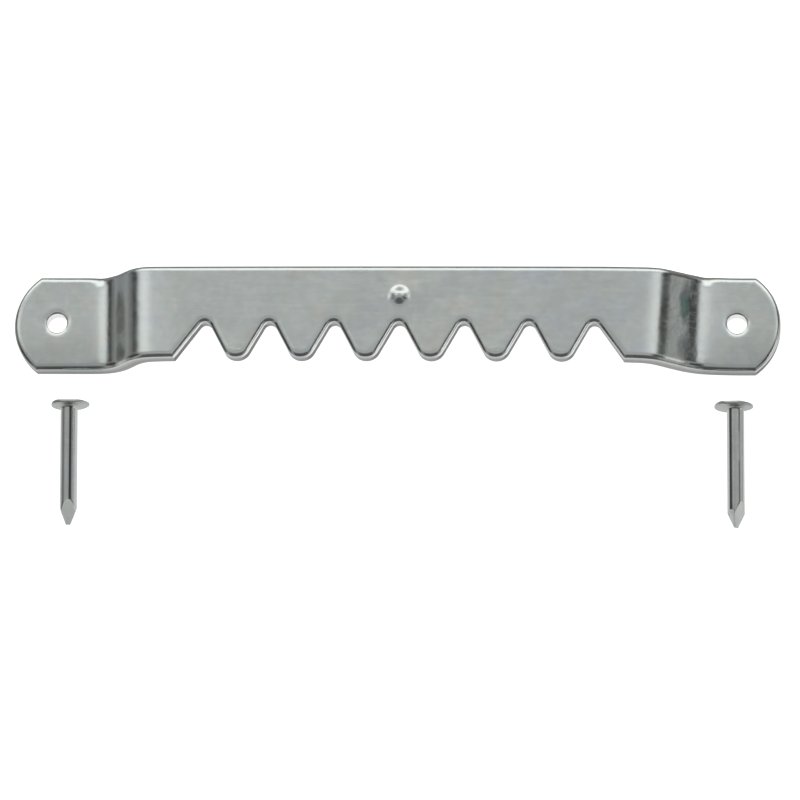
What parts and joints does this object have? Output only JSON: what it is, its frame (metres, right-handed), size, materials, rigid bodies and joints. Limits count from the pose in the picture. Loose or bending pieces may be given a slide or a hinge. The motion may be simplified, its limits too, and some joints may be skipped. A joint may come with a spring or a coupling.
{
  "type": "sawtooth picture hanger",
  "caption": "Strip of zinc-plated sheet steel with round ends, a raised middle cut into rounded saw teeth along one edge, and loose nails that fix it through its feet.",
  "frame": {"origin": "midway between the centres of the two nail holes, on the back face of the feet, which is the face that lies on the picture frame", "axes": "+X along the strip from the left nail hole to the right one, +Y across it away from the teeth, which is up when the frame hangs, +Z out of the front face, away from the frame"},
  "size_m": [0.0762, 0.0258, 0.0055],
  "materials": {
    "strip_zinc": "clear zinc plate on rolled sheet steel, satin with fine mottling",
    "left_nail_zinc": "clear zinc plate on drawn steel wire, smooth",
    "right_nail_zinc": "clear zinc plate on drawn steel wire, smooth"
  },
  "bodies": {
    "strip": {"hanger_strip": "strip_zinc"},
    "left_nail": {"nail_left": "left_nail_zinc"},
    "right_nail": {"nail_right": "right_nail_zinc"}
  },
  "joints": [
    {"name": "left_nail_lift", "type": "slide", "parent": "strip", "child": "left_nail", "axis": [0, 0, 1], "range_m": [0, 0.03]},
    {"name": "right_nail_lift", "type": "slide", "parent": "strip", "child": "right_nail", "axis": [0, 0, 1], "range_m": [0, 0.03]}
  ]
}
